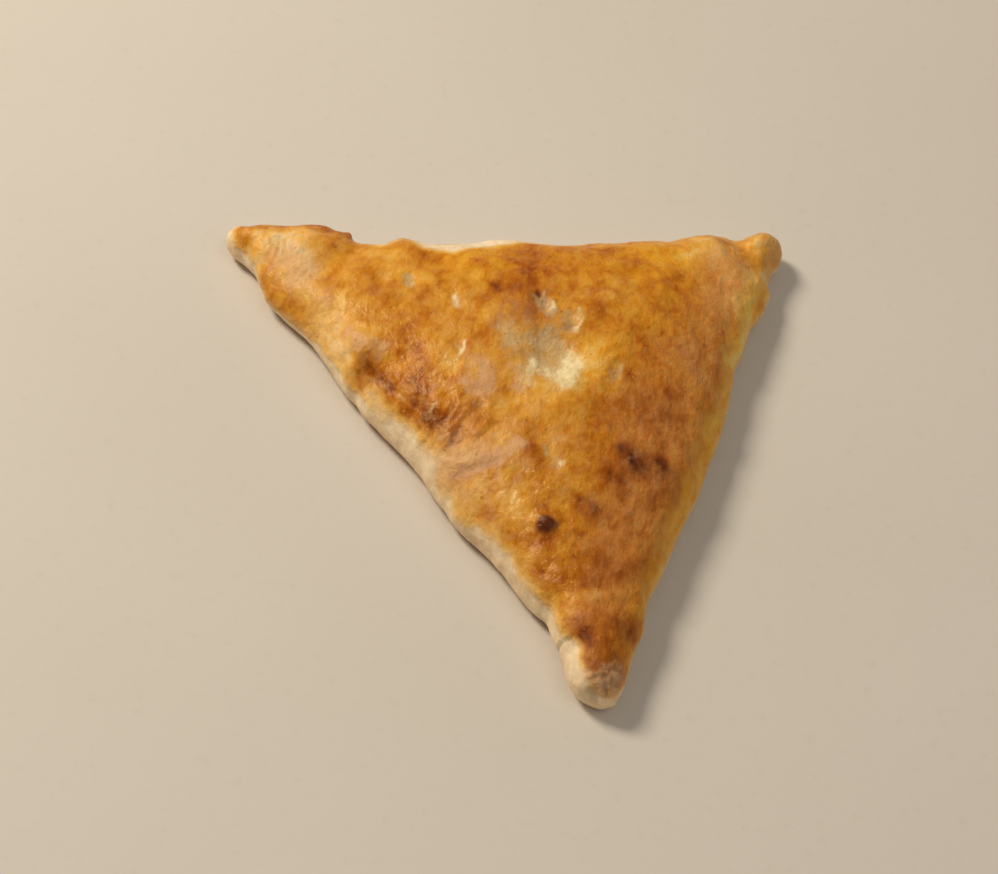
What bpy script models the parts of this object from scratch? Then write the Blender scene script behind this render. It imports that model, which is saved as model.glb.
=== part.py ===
"""Chard pie: a closed, three-cornered parcel of bread dough, baked around its filling.

The dough is folded in from three sides and pinched to a blunt knob at each corner.
It bakes lying on its seams, so the underside is flat, the edge all round is thick and
rounded, and the upper skin is domed. One end of the back fold stands out as a flap.

Frame: metres, +Z up, the pie resting on Z = 0 under the middle of its bounding box.
+X runs along the back edge, from the left knob to the right one. -Y points to the
front knob.
"""

import math

import bmesh
import bpy

MM = 0.001

# --- Driving dimensions, in millimetres --------------------------------------
BACK_SPAN = 159.0  # between the centres of the left and right knobs
SIDE_SPAN = 181.0  # from either of those to the centre of the front knob
CROWN_HEIGHT = 26.0  # top of the dome above the resting surface
RIM_HEIGHT = 13.0  # thickness of the folded edge and of the knobs
TOP_ROUND = 11.0  # inset over which the edge turns up into the upper skin
FOOT_ROUND = 4.5  # inset over which it turns under, onto the flat base
DOME_FULLNESS = 0.8  # below 1 the dome is broad and flat, as filling makes it
DOME_MARGINS = (-2.0, 6.0, 4.5)  # how far outside the back, right and left lines it starts
EDGE_LEVEL = 0.42  # height of the edge's outermost line, as a part of its thickness
EDGE_SQUARENESS = 2.2  # 2 rounds the edge in quarter ellipses, more squares it off

# --- Mesh density ------------------------------------------------------------
SIDE_STEPS = 32  # points of the outline along each side
KNOB_STEPS = 8  # and round each knob
SKIN_RINGS = 30  # rings of the upper skin, from the crown out to the edge
BASE_RINGS = 10  # and of the underside, from the edge in to its middle
SKIN_CROWDING = 1.6  # above 1, rings draw closer together towards the edge
BASE_CROWDING = 2.8

# --- Outline -----------------------------------------------------------------
# Each side's edge follows the line between two knobs' centres, moved out by LINE.
# Its swells are (how far along, from 0 to 1; how far out; reach along the side).
BACK_LINE = -4.0
BACK_SWELLS = (
    (0.01, 10.5, 17.0),  # left knob
    (0.13, 7.5, 9.5),  # the flap, which ends in a step
    (0.27, 4.3, 7.5),
    (0.465, 4.0, 16.0),
    (0.755, 4.0, 23.0),
    (0.89, 6.3, 10.0),  # shoulder beside the right knob
    (1.00, 7.5, 8.0),  # right knob
)
RIGHT_LINE = 2.7
RIGHT_SWELLS = (
    (0.01, 4.7, 7.5),  # right knob
    (0.125, 4.4, 14.5),  # bump under its notch
    (0.525, 6.1, 57.0),  # belly of the side
    (0.895, 1.5, 6.0),  # shoulder above the front knob
    (1.03, 4.0, 23.0),  # front knob
)
LEFT_LINE = 2.0
LEFT_SWELLS = (
    (0.00, 6.0, 10.5),  # front knob, counted from there back to the left one
    (0.37, 2.8, 16.0),
    (0.655, 4.5, 28.0),
    (0.895, 6.0, 16.0),  # fullness under the flap
    (1.01, 4.6, 5.5),  # left knob
)
# Each knob is an arc about its centre, clockwise: (radius at its start; at its end;
# how far its tip pokes out; where along the arc the tip is).
RIGHT_KNOB = (4.9, 8.1, 0.0, 0.5)
FRONT_KNOB = (7.0, 8.0, 1.4, 0.38)
LEFT_KNOB = (7.8, 6.0, 3.0, 0.40)
KNOB_TIP_REACH = 0.28  # as a part of the arc
# Each side, clockwise from the left knob, with the knob at its end.
SHAPED_SIDES = (
    (BACK_LINE, BACK_SWELLS, RIGHT_KNOB),
    (RIGHT_LINE, RIGHT_SWELLS, FRONT_KNOB),
    (LEFT_LINE, LEFT_SWELLS, LEFT_KNOB),
)
# Inside the edge its swells die away, towards a plain triangle with rounded corners.
PLAIN_OUT = 5.0
PLAIN_SIDES = ((PLAIN_OUT, (), (PLAIN_OUT, PLAIN_OUT, 0.0, 0.5)),) * 3
SWELL_DECAY = 8

# --- Relief of the upper skin ------------------------------------------------
# Soft rises and hollows: (x, y, rise, reach).
SKIN_SWELLS = (
    (-79.0, 82.0, 1.0, 7.0),  # left knob
    (81.0, 82.0, 1.4, 7.0),  # right knob
    (1.0, -81.0, 0.6, 7.0),  # front knob
    (-52.0, 30.0, 1.6, 6.5),  # large blister near the left edge
    (-49.0, 1.0, 0.9, 6.5),
    (-8.0, -65.0, 1.4, 5.5),  # fullness above the crease by the front knob
    (-64.0, 74.0, 1.6, 8.0),  # pouch of the flap
    (63.0, 75.0, 1.2, 8.0),  # shoulder beside the right knob
    (3.0, 21.0, -1.8, 9.0),  # hollow in the middle, where the filling has sunk
    (-24.0, 45.0, -0.7, 8.0),
    (19.0, -17.0, 0.6, 7.0),
    (-30.0, 22.0, 0.9, 18.0),
    (30.0, 38.0, 0.9, 17.0),
    (-16.0, -20.0, 0.8, 16.0),
    (27.0, 4.0, -0.8, 15.0),
)
# Creases: (x, y of one end; x, y of the other; depth; half width).
SKIN_CREASES = (
    (-14.0, -69.0, -5.0, -73.0, 1.5, 3.2),  # where the front knob is folded over
    (-48.0, 76.0, -60.0, 62.0, 1.2, 4.5),  # at the step of the flap
    (69.0, 86.0, 75.0, 62.0, 1.7, 4.2),  # neck of the right knob
    (-74.0, 70.0, -84.0, 70.0, 1.0, 4.0),  # neck of the left knob
    (1.0, 43.0, 9.0, 33.0, 0.9, 4.5),  # pinched furrow at the back of the hollow
    (-6.0, 16.0, -12.0, 4.0, 0.7, 4.5),
)

CRUST_COLOUR = (0.60, 0.31, 0.085)
CRUST_ROUGHNESS = 0.48


def clear_objects():
    for item in list(bpy.data.objects):
        bpy.data.objects.remove(item, do_unlink=True)


def knob_centres():
    """Centres of the left, right and front knobs, about the middle of their triangle."""
    depth = math.sqrt(SIDE_SPAN**2 - (BACK_SPAN / 2) ** 2)
    left = (-BACK_SPAN / 2, depth / 3)
    right = (BACK_SPAN / 2, depth / 3)
    front = (0.0, -2 * depth / 3)
    return left, right, front


def side_points(start, end, line, swells):
    """Edge points between two knobs, going clockwise, and the way the side faces."""
    length = math.dist(start, end)
    step = ((end[0] - start[0]) / length, (end[1] - start[1]) / length)
    facing = (-step[1], step[0])
    points = []
    for k in range(SIDE_STEPS):
        travel = length * (k + 0.5) / SIDE_STEPS
        out = line
        for at, rise, reach in swells:
            out += rise * math.exp(-(((travel - at * length) / reach) ** 2))
        x = start[0] + step[0] * travel + facing[0] * out
        y = start[1] + step[1] * travel + facing[1] * out
        points.append((x, y))
    return points, facing


def knob_points(centre, facing_before, facing_after, knob):
    """The arc round a knob, from the way one side faces to the way the next does."""
    start_radius, end_radius, poke, tip = knob
    first = math.atan2(facing_before[1], facing_before[0])
    last = math.atan2(facing_after[1], facing_after[0])
    turn = (first - last) % math.tau
    points = []
    for k in range(KNOB_STEPS):
        part = (k + 0.5) / KNOB_STEPS
        angle = first - turn * part
        out = start_radius + (end_radius - start_radius) * part
        out += poke * math.exp(-(((part - tip) / KNOB_TIP_REACH) ** 2))
        points.append((centre[0] + out * math.cos(angle), centre[1] + out * math.sin(angle)))
    return points


def outline(knobs, sides):
    """The edge in plan, clockwise from the left knob, side by side with its knobs."""
    runs = []
    for k, (line, swells, _) in enumerate(sides):
        runs.append(side_points(knobs[k], knobs[(k + 1) % 3], line, swells))
    points = []
    for k, (_, _, knob) in enumerate(sides):
        side, facing = runs[k]
        next_facing = runs[(k + 1) % 3][1]
        points += side
        points += knob_points(knobs[(k + 1) % 3], facing, next_facing, knob)
    return points


def box_middle(points):
    across = [x for x, y in points]
    along = [y for x, y in points]
    return (min(across) + max(across)) / 2, (min(along) + max(along)) / 2


def moved(points, offset):
    return [(x - offset[0], y - offset[1]) for x, y in points]


def distance_to_segment(x, y, start, end):
    run_x, run_y = end[0] - start[0], end[1] - start[1]
    part = ((x - start[0]) * run_x + (y - start[1]) * run_y) / (run_x**2 + run_y**2)
    part = min(1.0, max(0.0, part))
    return math.hypot(x - start[0] - run_x * part, y - start[1] - run_y * part)


def inset_of(x, y, edge):
    """How far a point in plan lies inside the edge."""
    return min(distance_to_segment(x, y, edge[k - 1], edge[k]) for k in range(len(edge)))


def rounding(inset, reach):
    """A quarter of a superellipse: 0 on the edge, 1 from reach inwards."""
    gap = max(0.0, 1 - inset / reach)
    return (1 - gap**EDGE_SQUARENESS) ** (1 / EDGE_SQUARENESS)


def dome(x, y, knobs):
    """The puffed skin of a triangle, from 0 at its sides to 1 in its middle.

    It is the product of the distances to the three sides, as in a blown-up film.
    """
    product = 1.0
    growth = 1.0
    for k in range(3):
        start, end, opposite = knobs[k], knobs[(k + 1) % 3], knobs[(k + 2) % 3]
        length = math.dist(start, end)
        inward = ((end[1] - start[1]) / length, (start[0] - end[0]) / length)
        height = (opposite[0] - start[0]) * inward[0] + (opposite[1] - start[1]) * inward[1]
        depth = (x - start[0]) * inward[0] + (y - start[1]) * inward[1]
        product *= 3 * max(0.0, depth + DOME_MARGINS[k]) / height
        growth += DOME_MARGINS[k] / height
    return min(1.0, product / growth**3) ** DOME_FULLNESS


def relief(x, y):
    """Rises, hollows and creases of the upper skin."""
    height = 0.0
    for at_x, at_y, rise, reach in SKIN_SWELLS:
        height += rise * math.exp(-((x - at_x) ** 2 + (y - at_y) ** 2) / reach**2)
    for x1, y1, x2, y2, depth, half_width in SKIN_CREASES:
        away = distance_to_segment(x, y, (x1, y1), (x2, y2))
        height -= depth * math.exp(-((away / half_width) ** 2))
    return height


def skin_height(x, y, knobs, edge):
    inset = inset_of(x, y, edge)
    level = RIM_HEIGHT * EDGE_LEVEL
    turned_up = (RIM_HEIGHT - level) * rounding(inset, TOP_ROUND)
    puffed = (CROWN_HEIGHT - RIM_HEIGHT) * dome(x, y, knobs)
    fade = rounding(inset, TOP_ROUND) ** 2
    return level + turned_up + puffed + relief(x, y) * fade


def base_height(x, y, edge):
    inset = inset_of(x, y, edge)
    return RIM_HEIGHT * EDGE_LEVEL * (1 - rounding(inset, FOOT_ROUND))


def pie_mesh():
    """A sphere pulled out to the edge, its upper half domed and its lower half flat."""
    knobs = knob_centres()
    middle = box_middle(outline(knobs, SHAPED_SIDES))
    knobs = moved(knobs, middle)
    edge = outline(knobs, SHAPED_SIDES)
    plain = outline(knobs, PLAIN_SIDES)
    centre_x = sum(x for x, y in knobs) / 3
    centre_y = sum(y for x, y in knobs) / 3

    around = len(edge)
    rings = SKIN_RINGS + BASE_RINGS
    shape = bmesh.new()
    bmesh.ops.create_uvsphere(shape, u_segments=around, v_segments=rings, radius=1.0)
    for vert in shape.verts:
        turn = math.atan2(vert.co.y, vert.co.x) / math.tau
        point = -round(turn * around) % around
        ring = round(math.acos(max(-1.0, min(1.0, vert.co.z))) / math.pi * rings)
        upper = ring <= SKIN_RINGS
        if upper:
            scale = 1 - (1 - ring / SKIN_RINGS) ** SKIN_CROWDING
        else:
            scale = 1 - (1 - (rings - ring) / BASE_RINGS) ** BASE_CROWDING
        swell = scale**SWELL_DECAY
        x = centre_x + (plain[point][0] - centre_x) * scale
        y = centre_y + (plain[point][1] - centre_y) * scale
        x += (edge[point][0] - plain[point][0]) * swell
        y += (edge[point][1] - plain[point][1]) * swell
        z = skin_height(x, y, knobs, edge) if upper else base_height(x, y, edge)
        vert.co = (x * MM, y * MM, z * MM)
    mesh = bpy.data.meshes.new("pie")
    shape.to_mesh(mesh)
    shape.free()
    mesh.shade_smooth()
    return mesh


def crust_material():
    material = bpy.data.materials.new("crust")
    material.use_nodes = True
    shader = material.node_tree.nodes["Principled BSDF"]
    shader.inputs["Base Color"].default_value = (*CRUST_COLOUR, 1.0)
    shader.inputs["Roughness"].default_value = CRUST_ROUGHNESS
    shader.inputs["Metallic"].default_value = 0.0
    return material


def main():
    clear_objects()
    collection = bpy.data.collections.new("chard_pie")
    bpy.context.scene.collection.children.link(collection)
    pie = bpy.data.objects.new("pie", pie_mesh())
    pie.data.materials.append(crust_material())
    collection.objects.link(pie)


main()
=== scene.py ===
"""Looks of a chard pie: a hand-folded triangle of bread dough, glazed and baked golden.

Lengths in the lists below are millimetres in the pie's own frame, seen from above: +X runs
along the back edge from the left knob to the right one, -Y points to the front knob.
The skin is the domed upper side; the band is the pale edge all round; the base is flat.
"""

import math

import bmesh
import bpy
import numpy as np
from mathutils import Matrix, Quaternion, Vector


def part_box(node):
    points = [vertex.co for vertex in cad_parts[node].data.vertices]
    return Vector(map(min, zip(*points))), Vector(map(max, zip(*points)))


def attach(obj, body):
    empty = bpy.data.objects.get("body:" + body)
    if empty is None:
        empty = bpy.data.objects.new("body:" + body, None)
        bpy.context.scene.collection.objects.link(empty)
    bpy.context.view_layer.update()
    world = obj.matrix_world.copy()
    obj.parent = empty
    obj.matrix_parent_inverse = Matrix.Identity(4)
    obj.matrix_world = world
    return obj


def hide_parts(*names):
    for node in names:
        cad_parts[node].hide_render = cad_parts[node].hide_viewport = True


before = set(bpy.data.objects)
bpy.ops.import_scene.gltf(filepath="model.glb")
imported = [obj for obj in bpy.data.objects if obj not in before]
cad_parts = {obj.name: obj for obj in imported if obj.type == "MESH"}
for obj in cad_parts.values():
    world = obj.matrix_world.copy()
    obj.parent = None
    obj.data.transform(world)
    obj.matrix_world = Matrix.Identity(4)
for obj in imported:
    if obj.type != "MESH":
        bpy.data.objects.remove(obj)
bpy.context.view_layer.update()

MM = 0.001
LOW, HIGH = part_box("pie")
MIDDLE = (LOW + HIGH) / 2

# --- Mesh --------------------------------------------------------------------
DOUBLES_GAP = 0.01
PAIR_BEND = math.radians(40)  # most bend between two triangles joined into one face
PAIR_SKEW = math.radians(60)  # and how far such a face may be from square
VOXEL = 0.73  # size of the even faces that the relief is then worked into
EVENING_ROUNDS = 4
FOLD_ANGLE = math.radians(72)  # edges sharper than this come from faces folded over
UNFOLDING_ROUNDS = 4
SMOOTHING = 0.5  # how far a round of either moves a vertex towards its neighbours
BOX_MARGIN = 0.0002  # part of the solid's box left free on each side

# --- Listed relief -----------------------------------------------------------
# Each mark follows a line of points, or sits on a single one: (points, reach, amount).
# Its effect is half as strong at reach from the line.
RISES = (
    (((-53, 32), (-52, 28)), 3.6, 0.9),  # blister near the left edge
    (((-35, 78), (-33, 72)), 3.2, 0.6),  # bump on the back edge
    (((-10, -64.5),), 3.2, 0.9),  # fold above the front knob's crease
    (((-66, 77), (-66, 66)), 4.0, 0.6),  # pouch of the flap
    (((-9, -36.8),), 2.6, 1.6),  # burnt blister
    (((18.5, -14), (19, -18)), 2.6, 0.35),
    (((28.5, -17),), 2.2, 0.3),
    (((5, -33),), 2.4, 0.3),
    (((-35, 10), (-34, 5)), 1.6, 0.4),
    (((-60, 42), (-56, 34)), 3.0, 0.4),
    (((-55, 51), (-58, 44)), 1.4, 0.3),
    (((-6, -79), (-5, -84)), 3.5, 0.5),  # pale bulge of the front knob
    (((12, 40), (11.3, 34), (9.5, 28.5)), 1.2, 0.4),  # rims of the sunken middle
    (((5, 12), (7, 17)), 2.0, 0.45),
    (((-5, 17), (-9.5, 9)), 1.6, 0.4),
    (((5, 43), (4.5, 38)), 1.1, 0.4),
    (((-20, 4), (-21, -2), (-25, -6), (-26, -10)), 1.2, 0.45),  # ridges of the dry skin
    (((-35, -10), (-27, -12)), 2.4, 0.3),
    (((76, 79), (81, 80)), 1.8, 0.5),  # ridge of the right knob
    (((62, 79), (68, 80)), 2.8, 0.6),  # shoulder beside it
)
PITS = (
    (((9, 35), (8.7, 31)), 2.0, 0.9),  # furrows and pits of the sunken middle
    (((1, 26), (3, 20)), 5.0, 1.3),
    (((2.6, 42), (2.6, 38.5)), 1.3, 0.9),
    (((1, 45.5),), 1.1, 1.4),  # steam hole
    (((-12, 30), (-9, 27)), 3.4, 0.4),
    (((-24, 48), (-23.8, 42)), 1.3, 0.6),
    (((-36, 57), (-35, 53)), 2.0, 0.6),
    (((-27, 26), (-25.5, 23)), 1.5, 0.5),
    (((18.5, 13), (20, 17)), 1.5, 0.5),
    (((-5, -15), (-3.5, -19)), 2.2, 0.7),
    (((-1, -9),), 1.8, 0.3),
    (((-2, 4),), 2.2, 0.3),
    (((-10.5, 8.5),), 1.2, 0.3),
    (((-6, -73),), 2.6, 0.5),  # hollow under the front knob's fold
    (((1, -86),), 3.0, 0.4),  # blunt end of the front knob
    (((74, 84), (73, 77)), 2.2, 0.35),  # dip between shoulder and right knob
)
# Sharp folds: (points, half width, depth).
CREASES = (
    (((-16, -65), (-11, -68), (-6, -70)), 0.6, 0.75),  # under the front knob's fold
    (((-52, 27), (-50.5, 21), (-46, 16.5)), 1.2, 0.35),  # right side of the left blister
    (((-50, 31), (-47, 27)), 0.6, 0.3),
    (((-72, 79), (-74, 70)), 0.6, 0.42),  # fan of the flap
    (((-74, 78), (-77, 70)), 0.6, 0.42),
    (((-70.5, 76), (-73, 67)), 0.6, 0.36),
    (((-76, 77), (-78.5, 71)), 0.6, 0.20),
    (((-68, 78), (-69.5, 71)), 0.6, 0.20),
    (((-71, 67.5), (-66, 70)), 0.6, 0.20),
    (((-70, 64), (-67, 61)), 0.7, 0.18),
    (((1.2, -84), (2, -87.5)), 0.6, 0.5),  # wrinkles of the blunt end
    (((-3, -82), (2, -82.3), (7, -81)), 0.6, 0.4),
    (((-3.5, -84), (0, -84.3)), 0.6, 0.4),
    (((-3, -86), (-1, -88)), 0.6, 0.4),
    (((3.5, -85.5), (6.5, -84.5)), 0.6, 0.3),
    (((67, 78), (66, 70)), 1.2, 0.20),  # soft folds by the right knob
    (((70, 68), (78, 64)), 1.2, 0.18),
    (((-29, -12), (-20, -4)), 0.9, 0.25),  # slanting folds of the dry skin
    (((-33, -8), (-27, -1), (-22, 4)), 0.9, 0.3),
    (((-31, -16.5), (-21, -16)), 0.9, 0.3),
    (((-38, -3), (-30, 4)), 0.9, 0.25),
)
# Bulges (above 0) and notches of the rim, seen from above.
EDGES = (
    (((-85, 89),), 2.2, 1.3),  # square corner of the left knob
    (((-81, 72),), 2.0, -0.4),
    (((-78, 60),), 2.5, 0.5),
    (((-66, 42),), 2.5, -0.5),
    (((-55.5, 20),), 2.0, -0.9),
    (((-34, -21),), 3.0, -0.4),
    (((-55, 80.5), (-51.5, 80.8)), 1.4, 2.4),  # end of the flap
    (((-48, 80), (-41, 78)), 3.0, -1.1),
    (((-30, 73), (-14, 73)), 4.0, -1.7),  # dip behind the cream rim
    (((-2, 74), (29, 74)), 4.0, -1.15),
    (((64, 81),), 3.0, 0.5),  # shoulder
    (((68, 84),), 2.5, 0.6),
    (((73, 80),), 1.6, -0.6),
    (((77, 82), (81, 83)), 2.0, -0.3),
    (((88, 85),), 2.5, 0.9),  # outer side of the right knob
    (((81, 66),), 1.5, -0.3),
    (((80.5, 60.5),), 2.2, 1.5),  # bump below the right knob
    (((78, 55),), 2.6, 0.8),
    (((68, 41), (65, 36)), 2.8, 1.5),
    (((57, 17), (54, 8)), 4.0, 0.45),
    (((41, -18),), 4.0, 0.75),
    (((28, -41),), 4.0, -0.5),
    (((16, -60), (17, -64)), 4.0, 0.7),
    (((5.5, -86.5),), 1.4, -0.7),
    (((6, -89),), 1.6, 0.7),  # corner of the blunt end
    (((-3, -89),), 2.5, -0.5),
    (((-8.5, -73), (-8, -82)), 3.0, -0.45),
    (((-12, -66.5),), 1.4, 0.3),  # step at the front knob's crease
    (((-12, -60.5),), 3.2, -1.7),
)

# --- Listed browning ---------------------------------------------------------
# The bake runs from 0, raw and pale, to 1, scorched. Marks as above.
SKIN_BAKE = 0.50
BAKE_MARKS = (
    (((-69, 74), (-66, 62)), 7.5, -0.34),  # pale flap
    (((-80, 80), (-73, 80)), 3.5, -0.10),
    (((-82, 85), (-66, 86)), 2.2, 0.16),  # and its browned upper edge
    (((-60, 86), (-52, 78)), 4.5, 0.13),
    (((-60, 87), (-58, 83)), 2.0, 0.10),
    (((-58, 73),), 2.2, 0.12),
    (((-84, 79),), 2.0, 0.10),
    (((-77, 65), (-73, 57)), 4.8, 0.18),
    (((-60, 56),), 3.0, 0.14),
    (((-67, 50),), 3.0, 0.12),
    (((-55, 51), (-57, 45)), 1.7, -0.10),
    (((-63, 45), (-58, 36)), 5.5, -0.16),  # yellow rim of the left side
    (((-60, 33), (-57, 28)), 3.0, -0.10),
    (((-65, 77), (-57, 60)), 4.0, 0.07),
    (((-35, 42), (-26, 57)), 3.0, 0.07),
    (((-43, 48),), 2.4, 0.20),
    (((-47, 57), (-48, 52)), 1.8, 0.12),
    (((-43, 67), (-40, 60)), 4.5, -0.12),
    (((-53, 27), (-50.5, 21)), 2.2, 0.24),  # beside the left blister
    (((-46, 14), (-36, 2)), 5.0, 0.14),
    (((-48, 19), (-45, 16)), 1.6, 0.20),
    (((-56, 24),), 2.2, 0.06),
    (((-42, 33), (-40, 27)), 3.6, 0.16),
    (((-34, 29), (-34, 22)), 3.5, -0.06),
    (((-39, 16), (-38.5, 8)), 3.0, 0.17),
    (((-37, 3),), 2.2, 0.16),
    (((-33, 1),), 2.6, 0.18),
    (((-33, -5), (-28, -6)), 3.2, 0.08),
    (((-30, -4), (-31, -8)), 2.6, 0.20),
    (((-30, 6),), 3.0, 0.06),
    (((-18, -44),), 2.5, 0.08),
    (((-24, 3), (-23, -1)), 2.0, 0.08),
    (((-30, 16),), 3.5, -0.06),
    (((-34, -12), (-28, -12)), 3.5, -0.16),
    (((-38, -4),), 3.0, -0.10),
    (((-31, -16.5), (-21, -17)), 2.2, 0.20),
    (((-21, 6), (-24, 4)), 2.4, 0.14),
    (((-29, -23),), 4.0, -0.14),
    (((-20, -8), (-15, -12)), 3.0, -0.08),
    (((-24, -31),), 1.6, 0.16),
    (((-20, -30), (-14, -50)), 4.5, 0.06),
    (((-53, 20), (-48, 12)), 2.6, 0.08),
    (((-17, -28), (-15, -34)), 3.2, -0.15),
    (((-33, 71), (-29, 65)), 2.8, 0.16),  # bump of the back edge
    (((-22, 60), (-12, 66)), 5.0, -0.06),
    (((-15, 61.5),), 1.4, 0.16),
    (((-28, 52),), 1.8, 0.14),
    (((0, 64), (-3, 50)), 3.4, 0.12),
    (((1, 72), (1, 62)), 4.0, 0.07),
    (((6, 67),), 2.3, 0.11),
    (((-8, 46), (-4, 46), (-5, 36)), 5.5, 0.15),
    (((0, 43),), 2.5, 0.10),
    (((4, 58), (12, 56)), 3.0, 0.12),
    (((-11.5, 50), (-11.5, 47.5)), 1.5, 0.26),
    (((12, 48),), 2.5, 0.10),
    (((20, 47),), 2.2, 0.16),
    (((25.5, 57),), 1.7, 0.18),
    (((25, 68.5),), 2.3, 0.18),
    (((20, 66),), 1.6, 0.12),
    (((12, 67),), 1.6, 0.10),
    (((18, 38.5), (16.5, 34)), 2.4, 0.14),
    (((28, 32), (33, 25)), 3.0, 0.07),
    (((-32, 54), (-28, 49)), 3.0, -0.06),
    (((-38, 25), (-36, 17)), 4.0, 0.08),
    (((-12, -16), (-10, -30)), 4.0, 0.08),
    (((-15, -42), (-7, -42)), 2.6, 0.12),
    (((-50, 43),), 3.0, 0.07),
    (((-29, 6), (-29, 0)), 2.4, 0.08),
    (((-16, 52), (-20, 57)), 2.2, -0.05),
    (((28, 27), (29, 23)), 2.4, 0.12),
    (((29.5, 60), (34, 62)), 1.8, 0.13),
    (((31, 64.5),), 1.3, 0.12),
    (((35, 69), (52, 64)), 3.5, -0.08),
    (((49, 44),), 4.0, 0.06),
    (((-79, 72),), 2.5, -0.14),
    (((52, 70), (45, 72)), 4.0, -0.06),
    (((66, 77),), 2.5, 0.10),
    (((60, 78),), 2.5, -0.06),
    (((43, 52), (47, 57)), 2.4, 0.13),
    (((48, 50),), 1.9, 0.13),
    (((40, 45), (42, 39)), 4.0, 0.08),
    (((37.5, 31.5),), 1.3, 0.14),
    (((21, 53), (26, 60)), 2.5, -0.06),
    (((24, 13),), 1.9, 0.16),
    (((16, 4), (12, 1)), 2.6, 0.14),
    (((9, -6), (3, -12)), 2.4, 0.08),
    (((15, 22), (9, 14)), 4.0, -0.22),  # yellow rim of the sunken middle
    (((4, 9), (-3, 5)), 3.2, -0.18),
    (((-8, 8),), 3.0, -0.06),
    (((2, 30.5),), 0.9, 0.26),
    (((-20, 27),), 2.0, 0.14),
    (((-17, 38), (-17, 34)), 1.4, -0.10),
    (((32, 4),), 6.0, 0.14),
    (((13, -5),), 3.5, 0.08),
    (((76, 60), (61, 30), (48, -2), (31, -37), (18, -62)), 4.0, -0.18),  # painted light on the right side's rim, where the lamp falls off
    (((77, 60), (71, 52)), 2.0, 0.05),
    (((60, 29),), 3.5, -0.08),
    (((30, -8),), 4.0, 0.06),
    (((34, -12),), 3.0, -0.05),
    (((35, 10), (30, -30)), 16.0, 0.04),  # duller, browner right side
    (((55, 38), (54, 14)), 4.0, 0.06),
    (((64, 68), (68, 50)), 8.0, -0.10),  # smooth tan shoulder
    (((48, 70), (60, 74)), 8.0, -0.06),
    (((76, 62), (79, 70)), 4.0, -0.10),
    (((13, -21), (24, -17)), 5.5, 0.16),
    (((18, -14), (19.5, -18.5)), 2.6, 0.26),
    (((29, -16.8),), 2.4, 0.26),
    (((11, -22),), 2.6, 0.12),
    (((24, -29),), 3.0, 0.08),
    (((5, -34), (2, -31)), 2.4, 0.20),
    (((5, -34), (3, -44)), 4.5, 0.10),
    (((-9, -37),), 4.5, 0.16),
    (((12, -38), (12, -50)), 5.0, 0.06),
    (((-9, -48),), 2.4, 0.16),
    (((-13.5, -51),), 1.6, 0.10),
    (((-3, -48),), 1.8, 0.12),
    (((1, -46),), 1.4, 0.12),
    (((6, -48),), 2.2, 0.08),
    (((0, -40.5),), 1.2, 0.14),
    (((-3, -53), (6, -53)), 4.5, 0.18),
    (((-4, -66), (-3, -75)), 2.4, 0.14),
    (((-14, -45),), 2.4, -0.10),
    (((-5, -59), (3, -59)), 1.8, -0.12),
    (((-10, -10), (-9, -17)), 2.6, 0.17),
    (((-9.5, -65), (-7, -63.5)), 2.4, -0.14),
    (((-7, -61.5),), 1.4, 0.16),
    (((-3, -65),), 1.6, 0.08),
    (((-4, -70), (-1, -73)), 1.8, 0.08),
    (((9, -68), (12, -70)), 3.0, 0.18),
    (((1, -80), (2, -72)), 5.0, 0.24),
    (((-3, -87), (6, -85)), 3.0, 0.16),
    (((76, 78), (80, 78.5)), 2.0, -0.22),  # top of the right knob
    (((84, 78), (86, 83)), 3.0, -0.12),
    (((-1, 56), (2, 42)), 2.6, 0.08),  # last touches of darker and lighter skin
    (((15, 0), (27, 7)), 4.5, 0.06),
    (((-42, 22), (-30, 12)), 4.5, 0.05),
    (((-8, -50), (-6, -40)), 2.4, 0.07),
    (((28, -30),), 3.0, -0.07),
    (((3, -73),), 3.0, -0.08),
    (((-73, 62),), 2.4, 0.10),
    (((-61, 54),), 2.6, 0.06),
    (((-78, 70),), 2.4, -0.07),
    (((-22, -17),), 2.4, 0.07),
    (((-7, -9),), 2.4, 0.06),
    (((43, 0),), 3.0, -0.08),
    (((28, 28),), 2.6, -0.06),
    (((37, 43),), 2.6, -0.06),
    (((43, 28),), 2.6, -0.06),
    (((61, 34),), 3.0, -0.07),
    (((31, 69),), 2.4, -0.07),
    (((63, 50),), 2.4, 0.06),
    (((63, 64),), 2.4, 0.06),
    (((5.5, -31),), 2.0, 0.08),
    (((-5, -18),), 1.6, 0.07),
    (((-18, 24),), 2.2, 0.07),
    (((-8, 25),), 2.2, 0.06),
    (((13, 54),), 2.2, 0.06),
    (((-12, 14),), 3.0, -0.06),
    (((17, 18),), 2.0, -0.07),
)
# Where the skin stays matt and tan, and where it is glazed and golden.
SKIN_GLAZE = 0.85
GLAZE_MARKS = (
    (((63, 68), (68, 48), (52, 18)), 11.0, -0.85),
    (((40, 12), (28, -22), (16, -50), (7, -74)), 13.0, -0.95),
    (((-68, 70),), 9.0, -0.30),
    (((-32, -16), (-22, -10)), 9.0, -0.35),
    (((-8, -25), (-6, -50)), 7.0, 0.35),
    (((77, 79),), 3.5, 0.6),
    (((-76, 62), (-66, 48)), 4.0, 0.3),
    (((78, 60), (60, 26), (46, -8), (31, -37), (20, -58)), 4.5, 0.9),
    (((50, 70), (64, 76)), 6.0, 0.5),
)
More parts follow.
